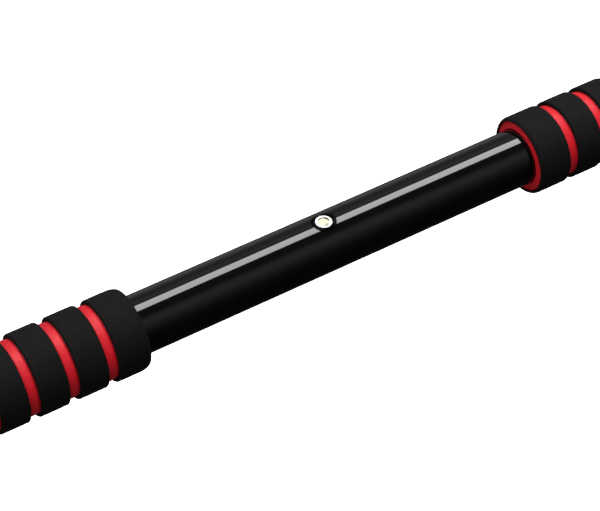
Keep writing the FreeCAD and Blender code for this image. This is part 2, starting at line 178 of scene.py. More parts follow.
def new_group(name, inputs, outputs):
    """A shader node group of number sockets: input names with their defaults, output names.

    Gives the group, what flows into it, and the sockets that its results go to.
    """
    group = bpy.data.node_groups.new(name, "ShaderNodeTree")
    for socket_name, default in inputs.items():
        socket = group.interface.new_socket(socket_name, in_out="INPUT",
                                            socket_type="NodeSocketFloat")
        socket.default_value = default
    for socket_name in outputs:
        group.interface.new_socket(socket_name, in_out="OUTPUT", socket_type="NodeSocketFloat")
    entry = group.nodes.new("NodeGroupInput")
    leave = group.nodes.new("NodeGroupOutput")
    return group, entry.outputs, leave.inputs


def node(tree, kind, links=(), **settings):
    """A new node with its settings made and its inputs linked: (input name, output socket).

    An underscore in a setting's name stands for the space in an input's name.
    """
    made = tree.nodes.new(kind)
    for name, value in settings.items():
        socket_name = name.replace("_", " ")
        if socket_name in made.inputs:
            made.inputs[socket_name].default_value = value
        else:
            setattr(made, name, value)
    for name, source in links:
        tree.links.new(source, made.inputs[name])
    return made


def math_node(tree, operation, first, second, clamp=False):
    """A Math node; each term is a number or an output socket."""
    made = tree.nodes.new("ShaderNodeMath")
    made.operation = operation
    made.use_clamp = clamp
    for index, term in enumerate((first, second)):
        if isinstance(term, (int, float)):
            made.inputs[index].default_value = term
        else:
            tree.links.new(term, made.inputs[index])
    return made.outputs[0]


def mask_between(tree, value, zero_at, one_at):
    """A mask that goes from 0 to 1 as the value goes from zero_at to one_at."""
    made = node(tree, "ShaderNodeMapRange", [("Value", value)], From_Min=zero_at,
                From_Max=one_at)
    return made.outputs["Result"]


def ranged(tree, value, low, high):
    """The value from 0 to 1 stretched between low and high."""
    made = node(tree, "ShaderNodeMapRange", [("Value", value)], To_Min=low, To_Max=high)
    return made.outputs["Result"]


def object_place(tree):
    """The place on the piece, in its own metres."""
    return node(tree, "ShaderNodeTexCoord").outputs["Object"]


def clouds(tree, place, size=None, **settings):
    """Soft noise round 0.5; its Scale is a setting, or comes from a socket with a size."""
    links = [("Vector", place)]
    if size is not None:
        links.append(("Scale", math_node(tree, "DIVIDE", 1.0, size)))
    return node(tree, "ShaderNodeTexNoise", links, **settings).outputs["Fac"]


def cells(tree, place, size, feature):
    """Distance from the middle of the nearest cell; a socket gives the size of the cells."""
    scale = math_node(tree, "DIVIDE", 1.0, size)
    made = node(tree, "ShaderNodeTexVoronoi", [("Vector", place), ("Scale", scale)],
                feature=feature)
    return made.outputs["Distance"]


def foam_pores_group():
    """Fine closed-cell pores: a height for bump, and a mask that is 1 inside the pores."""
    group, given, results = new_group(
        "Foam pores", {"Cell size": 0.0006, "Unevenness": 0.5}, ("Height", "Pores"))
    place = object_place(group)
    distance = cells(group, place, given["Cell size"], "F1")
    skin = clouds(group, place, Scale=260.0, Detail=6.0, Roughness=0.6)
    pores = mask_between(group, distance, 0.32, 0.08)
    uneven = math_node(group, "MULTIPLY", skin, given["Unevenness"])
    hollow = math_node(group, "MULTIPLY", pores, 0.6)
    height = math_node(group, "SUBTRACT", uneven, hollow)
    group.links.new(height, results["Height"])
    group.links.new(pores, results["Pores"])
    return group


def dust_group():
    """Fine dust that settles on upper faces, as a mask from 0 to 1."""
    group, given, results = new_group(
        "Settled dust", {"Amount": 0.3, "Patch size": 0.02}, ("Mask",))
    patches = clouds(group, object_place(group), given["Patch size"], Detail=8.0,
                     Roughness=0.7)
    facing = node(group, "ShaderNodeNewGeometry").outputs["Normal"]
    up = node(group, "ShaderNodeSeparateXYZ", [("Vector", facing)]).outputs["Z"]
    upward = math_node(group, "MULTIPLY", up, 1.0, clamp=True)
    both = math_node(group, "MULTIPLY", upward, mask_between(group, patches, 0.42, 0.7))
    mask = math_node(group, "MULTIPLY", both, given["Amount"], clamp=True)
    group.links.new(mask, results["Mask"])
    return group


def edge_wear_group():
    """Rubbing on convex edges, broken up by noise, as a mask from 0 to 1."""
    group, given, results = new_group(
        "Edge wear", {"Amount": 0.5, "Break up size": 0.004}, ("Mask",))
    broken = clouds(group, object_place(group), given["Break up size"], Detail=6.0,
                    Roughness=0.65)
    convex = node(group, "ShaderNodeNewGeometry").outputs["Pointiness"]
    both = math_node(group, "MULTIPLY", mask_between(group, convex, 0.53, 0.62), broken)
    mask = math_node(group, "MULTIPLY", both, given["Amount"], clamp=True)
    group.links.new(mask, results["Mask"])
    return group


def grain_group():
    """Moulded or cast surface grain: a height for bump and a value for roughness."""
    group, given, results = new_group(
        "Surface grain", {"Grain size": 0.0004}, ("Height", "Value"))
    place = object_place(group)
    grain = cells(group, place, given["Grain size"], "SMOOTH_F1")
    group.links.new(grain, results["Height"])
    group.links.new(clouds(group, place, Scale=90.0, Detail=5.0), results["Value"])
    return group


def streaks_group():
    """Long fine streaks that run along X, as a value round 0.5."""
    group, given, results = new_group(
        "Long streaks", {"Width": 0.0006, "Stretch": 60.0}, ("Value",))
    parts = node(group, "ShaderNodeSeparateXYZ", [("Vector", object_place(group))]).outputs
    along = math_node(group, "DIVIDE", parts["X"], given["Stretch"])
    drawn = node(group, "ShaderNodeCombineXYZ",
                 [("X", along), ("Y", parts["Y"]), ("Z", parts["Z"])])
    fine = clouds(group, drawn.outputs["Vector"], given["Width"], Detail=4.0, Roughness=0.6)
    group.links.new(fine, results["Value"])
    return group


def turning_group():
    """Fine rings round the X axis, as a lathe or a die leaves them, and the distance from it."""
    group, given, results = new_group(
        "Turning marks", {"Width": 0.0003, "Blotch": 0.3}, ("Value", "Out"))
    place = object_place(group)
    parts = node(group, "ShaderNodeSeparateXYZ", [("Vector", place)]).outputs
    squares = [math_node(group, "MULTIPLY", parts[axis], parts[axis]) for axis in ("Y", "Z")]
    out = math_node(group, "SQRT", math_node(group, "ADD", *squares), 0.0)
    drawn = node(group, "ShaderNodeCombineXYZ", [("X", parts["X"]), ("Y", out)])
    rings = clouds(group, drawn.outputs["Vector"], given["Width"], Detail=3.0, Roughness=0.6)
    blotches = clouds(group, place, Scale=350.0, Detail=4.0)
    mixed = node(group, "ShaderNodeMix",
                 [("Factor", given["Blotch"]), ("A", rings), ("B", blotches)])
    group.links.new(mixed.outputs["Result"], results["Value"])
    group.links.new(out, results["Out"])
    return group


EFFECTS = {}


def effect(tree, name, **values):
    """Places a shared effect in a material with its own values."""
    makers = {"pores": foam_pores_group, "dust": dust_group, "wear": edge_wear_group,
              "grain": grain_group, "streaks": streaks_group, "turning": turning_group}
    if name not in EFFECTS:
        EFFECTS[name] = makers[name]()
    placed = tree.nodes.new("ShaderNodeGroup")
    placed.node_tree = EFFECTS[name]
    for socket, value in values.items():
        placed.inputs[socket.replace("_", " ")].default_value = value
    return placed.outputs


# ---------------------------------------------------------------- materials

def new_material(name, **shader_values):
    """A material with a Principled BSDF, not metal unless said, with these plain values."""
    material = bpy.data.materials.new(name)
    material.use_nodes = True
    tree = material.node_tree
    shader = tree.nodes["Principled BSDF"]
    for socket, value in shader_values.items():
        shader.inputs[socket.replace("_", " ")].default_value = value
    return material, tree, shader


def mix_colours(tree, mask, first, second):
    """Goes from the first colour to the second as the mask goes from 0 to 1.

    Each colour is a tuple or an output socket.
    """
    mix = tree.nodes.new("ShaderNodeMix")
    mix.data_type = "RGBA"
    tree.links.new(mask, mix.inputs["Factor"])
    for socket, colour in (("A", first), ("B", second)):
        target = next(item for item in mix.inputs if item.name == socket and item.type == "RGBA")
        if isinstance(colour, bpy.types.NodeSocket):
            tree.links.new(colour, target)
        else:
            target.default_value = (*tuple(colour)[:3], 1.0)
    return next(item for item in mix.outputs if item.type == "RGBA")


def finished(tree, shader, colour, value, low, high):
    """Feeds the base colour, and a roughness from low to high as the value goes from 0 to 1."""
    tree.links.new(colour, shader.inputs["Base Color"])
    tree.links.new(ranged(tree, value, low, high), shader.inputs["Roughness"])


def bumped(tree, shader, height, distance, strength):
    """Feeds a height to the shader's normal through a Bump node."""
    bump = node(tree, "ShaderNodeBump", [("Height", height)], Strength=strength,
                Distance=distance)
    tree.links.new(bump.outputs["Normal"], shader.inputs["Normal"])


def lighter(colour, by):
    """The colour with the same amount added to each part."""
    return tuple(min(1.0, part + by) for part in tuple(colour)[:3])


def scaled(colour, factor):
    """The colour made brighter or darker by a factor."""
    return tuple(min(1.0, part * factor) for part in tuple(colour)[:3])


def gloss_paint():
    """Gloss black powder coat: deep, with faint streaks along the tube."""
    material, tree, shader = new_material("gloss_black_paint", IOR=1.5,
                                          Specular_IOR_Level=0.5)
    base = colours().paint
    streaks = effect(tree, "streaks", Width=0.0005, Stretch=90.0)["Value"]
    dust = effect(tree, "dust", Amount=0.02, Patch_size=0.012)["Mask"]
    streaked = mix_colours(tree, streaks, scaled(base, 0.6), scaled(base, 1.6))
    dusty = mix_colours(tree, dust, streaked, (0.05, 0.05, 0.048))
    finished(tree, shader, dusty, streaks, 0.02, 0.11)
    bumped(tree, shader, streaks, 0.000004, 0.5)
    return material


def foam(name, colour, cell, pore_shade, dust_amount, gloss, roughness):
    """Closed-cell foam with fine pores, which are painted darker as shade in their hollows, and a
    soft sheen.
    """
    material, tree, shader = new_material(
        name, IOR=1.4, Specular_IOR_Level=gloss, Sheen_Weight=0.006,
        Sheen_Roughness=0.5)
    pores = effect(tree, "pores", Cell_size=cell, Unevenness=0.6)
    dust = effect(tree, "dust", Amount=dust_amount, Patch_size=0.003)["Mask"]
    # Painted shade: the colour is darker inside each pore.
    holed = mix_colours(tree, pores["Pores"], colour, scaled(colour, pore_shade))
    dusty = mix_colours(tree, dust, holed, lighter(scaled(colour, 0.9), 0.012))
    finished(tree, shader, dusty, pores["Height"], roughness, roughness + 0.2)
    bumped(tree, shader, pores["Height"], 0.0002, 0.9)
    return material


def moulded_plastic(name, colour, grain_size, low, high):
    """Moulded black plastic with fine grain and lightly rubbed edges."""
    material, tree, shader = new_material(name, IOR=1.46, Specular_IOR_Level=0.4)
    grain = effect(tree, "grain", Grain_size=grain_size)
    wear = effect(tree, "wear", Amount=0.35, Break_up_size=0.003)["Mask"]
    dust = effect(tree, "dust", Amount=0.12, Patch_size=0.01)["Mask"]
    clouded = mix_colours(tree, grain["Value"], scaled(colour, 0.8), scaled(colour, 1.25))
    worn = mix_colours(tree, wear, clouded, lighter(scaled(colour, 1.5), 0.05))
    dusty = mix_colours(tree, dust, worn, (0.1, 0.1, 0.095))
    finished(tree, shader, dusty, grain["Value"], low, high)
    bumped(tree, shader, grain["Height"], 0.00008, 0.6)
    return material


def plated_metal(name, colour, low, high, metallic, darkened_below=0.0):
    """Plated or bright steel with fine turning marks and slightly rubbed edges.

    The colour darkens in patches nearer the X axis than the given radius, as in a thread's root.
    """
    material, tree, shader = new_material(name, Metallic=metallic)
    turned = effect(tree, "turning", Width=0.00025, Blotch=0.35)
    marks, out = turned["Value"], turned["Out"]
    wear = effect(tree, "wear", Amount=0.6, Break_up_size=0.002)["Mask"]
    marked = mix_colours(tree, marks, scaled(colour, 0.75), scaled(colour, 1.15))
    shade = mix_colours(tree, wear, marked, scaled(colour, 1.35))
    if darkened_below:
        deep = mask_between(tree, out, darkened_below, darkened_below - 0.6 * MM)
        cover = math_node(tree, "MULTIPLY", deep, ranged(tree, marks, 0.55, 1.0))
        shade = mix_colours(tree, cover, shade, (0.05, 0.048, 0.042))
    finished(tree, shader, shade, marks, low, high)
    bumped(tree, shader, marks, 0.00002, 0.4)
    return material


def tread_rubber():
    """Matte black rubber with a fine grain and dust in the tread."""
    material, tree, shader = new_material(
        "tread_rubber", IOR=1.5, Specular_IOR_Level=0.3)
    grain = effect(tree, "grain", Grain_size=0.0005)
    dust = effect(tree, "dust", Amount=0.25, Patch_size=0.006)["Mask"]
    clouded = mix_colours(tree, grain["Value"], (0.014, 0.014, 0.014), (0.026, 0.026, 0.025))
    dusty = mix_colours(tree, dust, clouded, (0.12, 0.115, 0.11))
    finished(tree, shader, dusty, grain["Value"], 0.65, 0.9)
    bumped(tree, shader, grain["Height"], 0.0001, 0.6)
    return material


def natural_acetal():
    """Off-white slippery plastic."""
    material, tree, shader = new_material(
        "natural_acetal", IOR=1.48, Subsurface_Weight=0.15)
    grain = effect(tree, "grain", Grain_size=0.0006)
    clouded = mix_colours(tree, grain["Value"], (0.7, 0.69, 0.62), (0.82, 0.81, 0.75))
    finished(tree, shader, clouded, grain["Value"], 0.3, 0.5)
    bumped(tree, shader, grain["Height"], 0.00003, 0.4)
    return material


def level_black():
    """Gloss black plastic of the level's ring."""
    material, tree, shader = new_material(
        "level_black", IOR=1.5, Specular_IOR_Level=0.02)
    grain = effect(tree, "grain", Grain_size=0.0008)
    shade = mix_colours(tree, grain["Value"], (0.0004, 0.0004, 0.0004), (0.0012, 0.0012, 0.001))
    finished(tree, shader, shade, grain["Value"], 0.25, 0.4)
    bumped(tree, shader, grain["Height"], 0.00001, 0.4)
    return material


def shadowed_patch(tree, place, outer, inner):
    """A mask for the low side of the level: 0 past the outer distance, 1 within the inner."""
    away = node(tree, "ShaderNodeVectorMath", [("Vector", place)], operation="DISTANCE")
    low_side = (LEVEL_X + 0.2 * MM, -3.0 * MM, TUBE_RADIUS - 0.45 * MM)
    away.inputs[1].default_value = low_side
    return mask_between(tree, away.outputs["Value"], outer, inner)


def level_white():
    """Bright white plastic round the level's fluid."""
    material, tree, shader = new_material(
        "level_white", IOR=1.45, Specular_IOR_Level=0.2)
    grain = effect(tree, "grain", Grain_size=0.0008)
    white = mix_colours(tree, grain["Value"], (0.84, 0.84, 0.81), (0.9, 0.9, 0.87))
    patch = shadowed_patch(tree, object_place(tree), 1.5 * MM, 0.2 * MM)
    shade = mix_colours(tree, patch, white, (0.3, 0.29, 0.2))
    finished(tree, shader, shade, grain["Value"], 0.5, 0.65)
    bumped(tree, shader, grain["Height"], 0.00001, 0.3)
    return material


def level_fluid_finish():
    """Pale yellow-green fluid over a white disc, with a shadowed patch at one side."""
    material, tree, shader = new_material(
        "level_fluid", IOR=1.4, Specular_IOR_Level=0.1)
    place = object_place(tree)
    cloud = clouds(tree, place, Scale=420.0, Detail=3.0)
    base = colours().fluid
    clear = mix_colours(tree, cloud, scaled(base, 0.93), scaled(base, 1.05))
    patch = shadowed_patch(tree, place, 2.2 * MM, 0.3 * MM)
    shade = mix_colours(tree, patch, clear, scaled(base, 0.4))
    finished(tree, shader, shade, cloud, 0.3, 0.5)
    bumped(tree, shader, cloud, 0.00001, 0.2)
    return material


def painted_shadow_arc_finish():
    """Dark olive finish for an arc of painted shadow along the wall's inner edge."""
    material, tree, shader = new_material(
        "painted_shadow_arc", IOR=1.33, Specular_IOR_Level=0.1)
    cloud = clouds(tree, object_place(tree), Scale=900.0, Detail=2.0)
    shade = mix_colours(tree, cloud, (0.008, 0.009, 0.004), (0.03, 0.03, 0.015))
    finished(tree, shader, shade, cloud, 0.4, 0.6)
    return material


# ---------------------------------------------------------------- mesh tools

def mesh_object(name, bm, material, body):
    """Turns a bmesh into a smooth-shaded piece that rides on a body."""
    bmesh.ops.recalc_face_normals(bm, faces=bm.faces)
    mesh = bpy.data.meshes.new(name)
    bm.to_mesh(mesh)
    bm.free()
    mesh.shade_smooth()
    mesh.materials.append(material)
    piece = bpy.data.objects.new(name, mesh)
    bpy.context.scene.collection.objects.link(piece)
    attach(piece, body)
    return piece


def join_rows(bm, rows, closed):
    """Faces between rows of vertices that each go once round.

    A closed sweep joins the last row to the first; an open one is capped at both ends.
    """
    following_rows = rows[1:] + rows[:1] if closed else rows[1:]
    for row, following in zip(rows, following_rows):
        for index in range(len(row)):
            other = (index + 1) % len(row)
            bm.faces.new((row[index], row[other], following[other], following[index]))
    if not closed:
        bm.faces.new(rows[0])
        bm.faces.new(rows[-1])


def closed_ring(bm, outline, steps, place):
    """Sweeps a closed outline round an axis. place(point, angle) gives each vertex."""
    rows = []
    for step in range(steps):
        angle = 2 * math.pi * step / steps
        rows.append([bm.verts.new(place(point, angle)) for point in outline])
    join_rows(bm, rows, closed=True)


def quarter(centre, reach, start, end, steps):
    """Points on a quarter ellipse between two angles in degrees, both ends included."""
    points = []
    for step in range(steps + 1):
        angle = math.radians(start + (end - start) * step / steps)
        points.append((centre[0] + reach[0] * math.cos(angle),
                       centre[1] + reach[1] * math.sin(angle)))
    return points


def evenly(start, end, count):
    """Points between two points, both left out."""
    return [(start[0] + (end[0] - start[0]) * step / (count + 1),
             start[1] + (end[1] - start[1]) * step / (count + 1))
            for step in range(1, count + 1)]


def round_x(along, out, angle):
    """A point at this distance from the X axis and this angle round it."""
    return Vector((along, out * math.cos(angle), out * math.sin(angle)))


def around_x(sign, uneven=0.0):
    """Places (along, out) points round the X axis, towards the end given by sign."""
    waves_per_metre = 160.0

    def place(point, angle):
        along, out = point
        spot = round_x(sign * along, out, angle)
        if uneven:
            out += uneven * noise.noise(spot * waves_per_metre)
            spot = round_x(sign * along, out, angle)
        return spot
    return place


def give_material(name, material):
    """Puts a material on a CAD node that is kept."""
    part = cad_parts[name]
    if part.data.materials:
        for index in range(len(part.data.materials)):
            part.data.materials[index] = material
    else:
        part.data.materials.append(material)


# ---------------------------------------------------------------- operators

class PULLUPBAR_OT_tube(bpy.types.Operator):
    """Paints the centre tube gloss black"""

    bl_idname = "pullupbar.tube"
    bl_label = "Centre tube"

    def execute(self, context):
        give_material("centre_tube", gloss_paint())
        return {"FINISHED"}


class PULLUPBAR_OT_grips(bpy.types.Operator):
    """Makes both foam grips: a red core, and black bands apart by grooves"""

    bl_idname = "pullupbar.grips"
    bl_label = "Foam grips"

    def execute(self, context):
        black = foam("foam_black", colours().foam_black, cell=0.7 * MM, pore_shade=0.3,
                     dust_amount=0.15, gloss=0.07, roughness=0.72)
        red = foam("foam_red", colours().foam_red, cell=0.6 * MM, pore_shade=0.6,
                   dust_amount=0.0, gloss=0.3, roughness=0.45)
        for side, sign in SIDES:
            self.core(side, sign, red)
            self.bands(side, sign, black)
        return {"FINISHED"}

    def grooves(self, side):
        """The middle of each groove along the bar, from the inner end."""
        first = GRIP_START + FIRST_GROOVE[side]
        return [first + index * sizes().groove_pitch for index in range(GROOVES)]

    def core(self, side, sign, material):
        """One sleeve of red foam, with a bead in each groove and eased inner edges."""
        radius = sizes().core_radius
        half = sizes().groove_width / 2
        start = GRIP_START + END_TRIM[side] - 0.2 * MM
        end = GRIP_END
        inner = TUBE_RADIUS + 0.02 * MM
        slope, ease = sizes().core_slope, 0.4 * MM
        face = [(start + 1.6 * MM, inner), (start + 0.4 * MM, inner + 0.15 * MM),
                (start + 0.08 * MM, inner + 0.6 * ease), (start, inner + ease)]
        face += evenly((start, inner + ease), (start + slope, radius), count=5)
        face += [(start + slope, radius), (start + slope + 2.0 * MM, radius - 0.05 * MM),
                 (start + slope + 3.0 * MM, radius - 0.3 * MM)]
        outline = list(face)
        for middle in self.grooves(side):
            outline += self.bead(middle, half, radius)
        outline += [(start + end - along, out) for along, out in reversed(face)]
        outline += evenly((end - 1.6 * MM, inner), (start + 1.6 * MM, inner), count=24)
        bm = bmesh.new()
        closed_ring(bm, outline, FOAM_STEPS, around_x(sign, uneven=0.03 * MM))
        piece = mesh_object(f"{side}_core_foam", bm, material, "bar")
        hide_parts(f"{side}_grip_core")

    def bead(self, middle, half, radius):
        """Outline of the red foam where it swells up between two bands."""
        floor = sizes().groove_floor
        corner = 0.95 * MM
        crown = 0.1 * MM
        tuck = (half + 0.1 * MM, radius - 0.3 * MM)
        outline = [(middle - tuck[0], tuck[1])]
        outline += quarter((middle - half + corner, floor - corner), (corner, corner),
                           start=180, end=100, steps=4)
        for step in range(-4, 5):
            share = step / 5
            outline.append((middle + share * (half - corner),
                            floor + crown * (1 - share * share)))
        outline += quarter((middle + half - corner, floor - corner), (corner, corner),
                           start=80, end=0, steps=4)
        outline.append((middle + tuck[0], tuck[1]))
        return outline

    def band_outline(self, start, end, start_reach, end_reach):
        """Outline of one band; each reach is how far the rounding runs (along, inwards)."""
        floor = sizes().core_radius + 0.02 * MM
        top = GRIP_RADIUS
        swell = sizes().foam_swell
        outline = [(start, floor)]
        outline += evenly((start, floor), (start, top - start_reach[1]), count=3)
        outline += quarter((start + start_reach[0], top - start_reach[1]), start_reach,
                           start=180, end=90, steps=10)
        crown_start, crown_end = start + start_reach[0], end - end_reach[0]
        steps = 14
        for step in range(1, steps):
            share = step / steps
            sag = swell * (2 * share - 1) ** 2
            level = min(1.0, 4 * share, 4 * (1 - share))
            outline.append((crown_start + (crown_end - crown_start) * share,
                            top - sag * (1 - level)))
        outline += quarter((end - end_reach[0], top - end_reach[1]), end_reach,
                           start=90, end=0, steps=10)
        outline += evenly((end, top - end_reach[1]), (end, floor), count=3)
        outline.append((end, floor))
        outline += evenly((end, floor), (start, floor), count=8)
        return outline

    def bands(self, side, sign, material):
        """Eight bands, the first and the last rounded over towards the tube."""
        half = sizes().groove_width / 2
        small = (sizes().band_rounding, sizes().band_rounding * 1.15)
        shoulder = SHOULDER[side]
        edges = [GRIP_START + END_TRIM[side]]
        for middle in self.grooves(side):
            edges += [middle - half, middle + half]
        edges.append(GRIP_END)
        bm = bmesh.new()
        for index in range(GROOVES + 1):
            outline = self.band_outline(
                edges[2 * index], edges[2 * index + 1],
                shoulder if index == 0 else small,
                shoulder if index == GROOVES else small)
            closed_ring(bm, outline, FOAM_STEPS, around_x(sign, uneven=0.05 * MM))
        piece = mesh_object(f"{side}_band_foam", bm, material, "bar")
        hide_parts(f"{side}_grip_bands")


class PULLUPBAR_OT_level(bpy.types.Operator):
    """Makes the round level: black ring, white wall, pale fluid and an arc of painted shadow at the
    bubble's radius
    """

    bl_idname = "pullupbar.level"
    bl_label = "Round level"

    def execute(self, context):
        self.ring()
        self.wall()
        self.fluid()
        self.bubble()
        return {"FINISHED"}

    def on_tube(self, out, angle, height, follow):
        """A point round the level's axis, at a height over the top of the tube.

        follow goes from 0, flat, to 1, where the height is over the tube's curved surface.
        """
        across = out * math.sin(angle)
        surface = math.sqrt(TUBE_RADIUS ** 2 - across ** 2)
        level_height = TUBE_RADIUS + (surface - TUBE_RADIUS) * follow + height
        return Vector((LEVEL_X + out * math.cos(angle), across, level_height))

    def ring(self):
        """The black ring follows the tube's curve outside and is flat at the window."""
        window = sizes().window_radius
        rim = LEVEL_HOLE - 0.1 * MM
        flange = LEVEL_HOLE + 0.12 * MM
        # (out from the level's axis, height, how much it follows the tube's curve)
        outline = [
            (rim, -2.6 * MM, 1.0), (rim, -1.0 * MM, 1.0), (rim, 0.01 * MM, 1.0),
            (flange, 0.01 * MM, 1.0), (flange + 0.01 * MM, 0.04 * MM, 1.0),
            (flange - 0.08 * MM, 0.1 * MM, 1.0), (flange - 0.25 * MM, 0.14 * MM, 1.0),
            (rim - 0.4 * MM, 0.16 * MM, 0.97), (rim - 1.0 * MM, 0.16 * MM, 0.85),
            (window + 0.5 * MM, 0.12 * MM, 0.6), (window + 0.2 * MM, 0.08 * MM, 0.4),
            (window + 0.05 * MM, -0.02 * MM, 0.3), (window, -0.2 * MM, 0.2),
            (window, -1.2 * MM, 0.0), (window, -2.6 * MM, 0.0), (window, -4.6 * MM, 0.0),
            (rim, -4.6 * MM, 0.0),
        ]
        bm = bmesh.new()
        closed_ring(bm, outline, steps=96, place=lambda point, angle: self.on_tube(
            point[0], angle, height=point[1], follow=point[2]))
        piece = mesh_object("level_ring", bm, level_black(), "bar")
        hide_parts("level_cup")

    def wall(self):
        """White wall and floor under the fluid."""
        window = sizes().window_radius
        inner = window - 1.5 * MM
        outline = [(window - 0.02 * MM, -4.5 * MM), (window - 0.02 * MM, -0.45 * MM),
                   (window - 0.1 * MM, -0.36 * MM), (inner + 0.12 * MM, -0.36 * MM),
                   (inner, -0.46 * MM), (inner, -2.5 * MM), (inner - 0.2 * MM, -3.4 * MM),
                   (0.4 * MM, -3.5 * MM), (0.4 * MM, -4.5 * MM)]
        bm = bmesh.new()
        closed_ring(bm, outline, steps=72, place=lambda point, angle: self.on_tube(
            point[0], angle, height=point[1], follow=0.0))
        piece = mesh_object("level_wall", bm, level_white(), "bar")
        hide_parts("level_reflector", "level_vial")

    def fluid(self):
        """A shallow dome of pale fluid inside the wall."""
        inner = sizes().window_radius - 1.52 * MM
        top_height, dome, under_height = -0.5 * MM, 0.05 * MM, -3.3 * MM
        steps, rings = 64, 12
        bm = bmesh.new()

        def circle(out, height):
            return [bm.verts.new(self.on_tube(out, 2 * math.pi * step / steps, height, 0.0))
                    for step in range(steps)]

        shares = [ring / rings for ring in range(1, rings + 1)]
        rows = [circle(inner * share, top_height - dome * share * share) for share in shares]
        rows.append(circle(inner, under_height))
        top = bm.verts.new(self.on_tube(0.0, 0.0, top_height, 0.0))
        under = bm.verts.new(self.on_tube(0.0, 0.0, under_height, 0.0))
        for step in range(steps):
            other = (step + 1) % steps
            bm.faces.new((top, rows[0][step], rows[0][other]))
            bm.faces.new((under, rows[-1][other], rows[-1][step]))
            for row, following in zip(rows, rows[1:]):
                bm.faces.new((row[step], following[step], following[other], row[other]))
        piece = mesh_object("level_fluid_fill", bm, level_fluid_finish(), "bar")
        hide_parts("level_fluid")

    def bubble(self):
        """A dark arc at the bubble's radius, painted as the shadow of the wall's inner edge: thickest
        to the right, fading at its ends.
        """
        radius = sizes().bubble_radius
        height = -0.4 * MM
        flatness = 0.3
        start, sweep = -23, 164
        steps, corners = 84, 8
        bm = bmesh.new()
        rows = []
        for step in range(steps + 1):
            share = step / steps
            degrees = start + sweep * share
            fade = math.sin(math.pi * share) ** 0.6
            right = math.exp(-((degrees - 19) / 32) ** 2)
            gap = math.exp(-((degrees - 77) / 9) ** 2)
            thick = fade * (0.38 + 0.24 * right) * (1 - 0.6 * gap) * MM + 0.02 * MM
            row = []
            for corner in range(corners):
                turn = 2 * math.pi * corner / corners
                out = radius + thick * math.cos(turn)
                rise = flatness * thick * math.sin(turn)
                row.append(bm.verts.new(self.on_tube(out, math.radians(degrees),
                                                     height + rise, 0.0)))
            rows.append(row)
        join_rows(bm, rows, closed=False)
        # Painted shadow: a dark piece laid where the wall's shadow falls on the fluid.
        mesh_object("level_painted_shadow_arc", bm, painted_shadow_arc_finish(), "bar")


